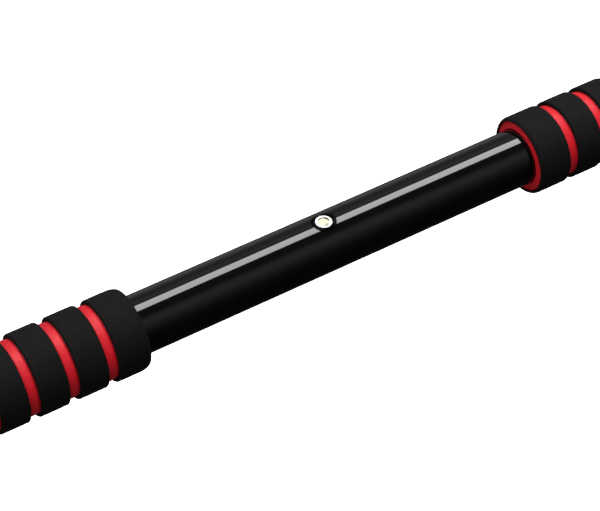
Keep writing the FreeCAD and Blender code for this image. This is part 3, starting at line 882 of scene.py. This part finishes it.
class PULLUPBAR_OT_threads(bpy.types.Operator):
    """Makes the screws, and finishes the nuts, washers, bushes, clips, discs and lock rings"""

    bl_idname = "pullupbar.threads"
    bl_label = "Threaded ends"

    def execute(self, context):
        zinc = plated_metal("zinc_plate", colours().zinc, 0.3, 0.5, 0.8)
        bright = plated_metal("bright_screw", scaled(colours().zinc, 1.05), 0.2, 0.42, 0.85,
                              darkened_below=THREAD_RADIUS - 0.35 * MM)
        dark = plated_metal("spring_steel", (0.22, 0.22, 0.24), 0.3, 0.45, 1.0)
        plastic = moulded_plastic("lock_ring_plastic", colours().plastic, 0.00045, 0.42, 0.6)
        acetal = natural_acetal()
        for side, sign in SIDES:
            for name in ("thread_nut", "nut_pins", "lock_washer", "swivel_disc",
                         "retaining_plate", "foot_screws"):
                give_material(f"{side}_{name}", zinc)
            for name in ("guide_bush", "thrust_washer"):
                give_material(f"{side}_{name}", acetal)
            give_material(f"{side}_stop_clips", dark)
            give_material(f"{side}_lock_ring", plastic)
            self.screw(side, sign, bright)
        return {"FINISHED"}

    def screw(self, side, sign, material):
        """A screw: its core tube with two clip grooves, and the thread wound round it."""
        bm = bmesh.new()
        core = THREAD_RADIUS - sizes().thread_depth
        closed_ring(bm, self.core_outline(core), steps=120, place=around_x(sign))
        self.thread(bm, sign, core)
        piece = mesh_object(f"{side}_threaded_screw", bm, material, f"{side}_screw")
        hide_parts(f"{side}_screw_tube")

    def core_outline(self, core):
        """Outline of the core tube, from its inner end to the foot, with eased corners."""
        bore = core - SCREW_WALL
        ease = 0.15 * MM
        groove = core - CLIP_DEPTH
        outline = [(SCREW_START, bore + ease), (SCREW_START, core - ease),
                   (SCREW_START + ease, core)]
        for start in (CLIPS_BOX[0][0], CLIPS_BOX[1][0] - CLIP_WIDTH):
            outline += [(start, core), (start, groove), (start + CLIP_WIDTH, groove),
                        (start + CLIP_WIDTH, core)]
        outline += evenly(outline[-1], (SCREW_END - ease, core), count=90)
        outline += [(SCREW_END - ease, core), (SCREW_END, core - ease),
                    (SCREW_END, bore + ease), (SCREW_END - ease, bore)]
        outline += evenly((SCREW_END - ease, bore), (SCREW_START + ease, bore), count=40)
        outline.append((SCREW_START + ease, bore))
        return outline

    def tooth(self, core):
        """Half of the thread's section, as (half width, out) from its foot to its crest."""
        crest = THREAD_RADIUS
        depth = crest - core
        half_root, half_crest, ease = 1.5 * MM, 0.7 * MM, 0.1 * MM
        flank = half_root - half_crest
        side = [(half_root, core - 0.4 * MM), (half_root, core - 0.02 * MM)]
        side += [(half_root - flank * share, core + depth * share)
                 for share in (0.02, 0.1, 0.35, 0.65, 0.86)]
        side += [(half_crest + 0.3 * ease, crest - 0.45 * ease),
                 (half_crest - 0.4 * ease, crest - 0.08 * ease),
                 (half_crest - 1.6 * ease, crest), (half_crest / 3, crest)]
        return side

    def thread(self, bm, sign, core):
        """Winds the tooth round the core; it rises out of the core at each end."""
        side = self.tooth(core)
        section = [(-width, out) for width, out in side]
        section += [(width, out) for width, out in reversed(side)]
        turns = sizes().thread_turns
        pitch = sizes().thread_pitch
        rise_per_turn = 1.4
        middle = (SCREW_START + SCREW_END) / 2 - THREAD_SHIFT
        first = middle - pitch * turns / 2
        start_angle = 0.0 if sign > 0 else math.pi
        rows = []
        for step in range(THREAD_STEPS * turns + 1):
            turned = step / THREAD_STEPS
            risen = min(1.0, rise_per_turn * turned, rise_per_turn * (turns - turned))
            angle = 2 * math.pi * turned + start_angle
            row = []
            for width, out in section:
                if out > core:
                    out = core + (out - core) * risen
                along = first + pitch * turned + width
                row.append(bm.verts.new(round_x(sign * along, out, angle)))
            rows.append(row)
        join_rows(bm, rows, closed=False)


class PULLUPBAR_OT_feet(bpy.types.Operator):
    """Finishes the moulded feet and their rubber pads"""

    bl_idname = "pullupbar.feet"
    bl_label = "Swivel feet"

    def execute(self, context):
        plastic = moulded_plastic("foot_plastic", colours().plastic, 0.0006, 0.45, 0.65)
        rubber = tread_rubber()
        for side, _ in SIDES:
            give_material(f"{side}_foot_shell", plastic)
            give_material(f"{side}_foot_pad", rubber)
        return {"FINISHED"}


class PULLUPBAR_OT_studio(bpy.types.Operator):
    """Makes the white floor, the soft lights, the white surroundings and the camera"""

    bl_idname = "pullupbar.studio"
    bl_label = "Studio"

    def execute(self, context):
        self.camera()
        self.floor()
        self.world()
        self.lights()
        context.scene.view_settings.view_transform = "Standard"
        context.scene.view_settings.look = "None"
        return {"FINISHED"}

    def camera(self):
        """The camera stands to the left and above, and looks down along the bar."""
        data = bpy.data.cameras.new("camera")
        data.lens = CAMERA_LENS
        camera = bpy.data.objects.new("camera", data)
        bpy.context.scene.collection.objects.link(camera)
        camera.location = Vector((LEVEL_X, 0.0, 0.0)) + Vector(CAMERA_FROM_LEVEL)
        camera.rotation_mode = "QUATERNION"
        camera.rotation_quaternion = Vector(CAMERA_FORWARD).to_track_quat("-Z", "Y")
        bpy.context.scene.camera = camera

    def floor(self):
        """A glowing white floor under the feet, which nothing mirrors and no shadow marks."""
        bm = bmesh.new()
        bmesh.ops.create_grid(bm, x_segments=8, y_segments=8, size=6.0)
        mesh = bpy.data.meshes.new("floor")
        bm.to_mesh(mesh)
        bm.free()
        material, tree, shader = new_material(
            "pale_floor", Roughness=0.9, Specular_IOR_Level=0.0, Emission_Color=WHITE,
            Emission_Strength=1.0)
        cloud = clouds(tree, object_place(tree), Scale=3.0)
        tint = mix_colours(tree, cloud, (0.93, 0.93, 0.93), (0.96, 0.96, 0.96))
        tree.links.new(tint, shader.inputs["Base Color"])
        mesh.materials.append(material)
        floor = bpy.data.objects.new("floor", mesh)
        floor.location = (0.0, 0.0, FEET_BOTTOM - FLOOR_DROP)
        floor.visible_glossy = False
        floor.visible_diffuse = False
        floor.visible_transmission = False
        floor.visible_shadow = False
        bpy.context.scene.collection.objects.link(floor)

    def world(self):
        """White to look at, an even fill for the foam, and soft grey screens in the gloss."""
        world = bpy.data.worlds.new("studio")
        world.use_nodes = True
        tree = world.node_tree
        tree.nodes.clear()

        def either(mask, first, second):
            """The first shader where the mask is 0, and the second where it is 1."""
            mix = tree.nodes.new("ShaderNodeMixShader")
            for index, source in enumerate((mask, first, second)):
                tree.links.new(source, mix.inputs[index])
            return mix.outputs[0]

        ray = node(tree, "ShaderNodeLightPath").outputs
        seen = node(tree, "ShaderNodeBackground", Color=WHITE, Strength=1.0)
        fill = node(tree, "ShaderNodeBackground", Color=WHITE, Strength=0.18)
        screens = node(tree, "ShaderNodeBackground", [("Color", self.screens(tree))],
                       Strength=1.0)
        lit = either(ray["Is Glossy Ray"], fill.outputs[0], screens.outputs[0])
        surface = either(ray["Is Camera Ray"], lit, seen.outputs[0])
        node(tree, "ShaderNodeOutputWorld", [("Surface", surface)])
        bpy.context.scene.world = world

    def screens(self, tree):
        """How bright the surroundings are, by the angle round the bar from the near side."""
        towards = node(tree, "ShaderNodeTexCoord").outputs["Generated"]
        parts = node(tree, "ShaderNodeSeparateXYZ", [("Vector", towards)])
        near = math_node(tree, "MULTIPLY", parts.outputs["Y"], -1.0)
        turn = math_node(tree, "ARCTAN2", parts.outputs["Z"], near)
        share = mask_between(tree, turn, -math.pi, math.pi)
        ramp = node(tree, "ShaderNodeValToRGB", [("Fac", share)])
        # (degrees up from the near side, brightness): dark below, a pale screen up in front,
        # a dark gap overhead and a second screen up behind.
        stops = ((-180, 0.35), (-150, 0.12), (-90, 0.01), (-20, 0.01), (5, 0.035), (21, 0.13),
                 (36, 0.27), (47, 0.34), (58, 0.28), (66, 0.12), (73, 0.04), (88, 0.04),
                 (118, 0.1), (131, 0.4), (152, 0.17), (166, 0.22), (180, 0.35))
        elements = ramp.color_ramp.elements
        for index, (angle, bright) in enumerate(stops):
            place = (angle + 180) / 360
            if index < 2:
                stop = elements[index]
                stop.position = place
            else:
                stop = elements.new(place)
            stop.color = (bright, bright, bright, 1.0)
        return ramp.outputs["Color"]

    def softbox(self, name, place, shift, length, width, radiance):
        """A rectangular light that faces back from its place, then is shifted along X."""
        data = bpy.data.lights.new(name, "AREA")
        data.shape = "RECTANGLE"
        data.size = length
        data.size_y = width
        data.energy = radiance * math.pi * length * width
        light = bpy.data.objects.new(name, data)
        light.location = place + Vector((shift, 0.0, 0.0))
        light.rotation_mode = "QUATERNION"
        light.rotation_quaternion = (-place).to_track_quat("-Z", "Y")
        light.visible_camera = False
        bpy.context.scene.collection.objects.link(light)
        return light

    def lights(self):
        """A strip that shows only in gloss, and three wide lights on matt surfaces only."""
        def around(angle, distance):
            """A place in the plane square to the bar; 0 degrees is level at the near side."""
            turn = math.radians(angle)
            return Vector((0.0, -distance * math.cos(turn), distance * math.sin(turn)))

        strip = self.softbox("strip_softbox", around(107.5, 1.0), shift=0.0,
                             length=3.2, width=0.43, radiance=9.0)
        strip.visible_diffuse = False
        wide = (self.softbox("key_softbox", around(92.0, 1.2), shift=0.35,
                             length=1.4, width=0.7, radiance=7.0),
                self.softbox("front_fill", around(45.0, 1.6), shift=0.2,
                             length=1.5, width=0.9, radiance=1.5),
                self.softbox("side_fill", Vector((-1.6, -0.5, 0.6)), shift=0.0,
                             length=1.0, width=1.0, radiance=3.0))
        for light in wide:
            light.visible_glossy = False


# ---------------------------------------------------------------- panel and registration

class PULLUPBAR_PT_panel(bpy.types.Panel):
    """Lists the pieces of the bar, its sizes and its colours"""

    bl_idname = "PULLUPBAR_PT_panel"
    bl_label = "Pull-up bar"
    bl_space_type = "VIEW_3D"
    bl_region_type = "UI"
    bl_category = "Pull-up bar"

    def draw(self, context):
        layout = self.layout
        for operator in PIECE_OPERATORS:
            layout.operator(operator.bl_idname)
        for group in (context.scene.pull_up_bar_sizes, context.scene.pull_up_bar_colours):
            box = layout.box()
            for name in group.__annotations__:
                box.prop(group, name)


PIECE_OPERATORS = (
    PULLUPBAR_OT_tube,
    PULLUPBAR_OT_grips,
    PULLUPBAR_OT_level,
    PULLUPBAR_OT_threads,
    PULLUPBAR_OT_feet,
    PULLUPBAR_OT_studio,
)
CLASSES = (PullUpBarSizes, PullUpBarColours, *PIECE_OPERATORS, PULLUPBAR_PT_panel)


def register():
    for item in CLASSES:
        bpy.utils.register_class(item)
    bpy.types.Scene.pull_up_bar_sizes = bpy.props.PointerProperty(type=PullUpBarSizes)
    bpy.types.Scene.pull_up_bar_colours = bpy.props.PointerProperty(type=PullUpBarColours)


def unregister():
    del bpy.types.Scene.pull_up_bar_colours
    del bpy.types.Scene.pull_up_bar_sizes
    for item in reversed(CLASSES):
        bpy.utils.unregister_class(item)


def main():
    register()
    bpy.ops.pullupbar.tube()
    bpy.ops.pullupbar.grips()
    bpy.ops.pullupbar.level()
    bpy.ops.pullupbar.threads()
    bpy.ops.pullupbar.feet()
    bpy.ops.pullupbar.studio()
    bpy.context.view_layer.update()


if __name__ == "__main__":
    main()
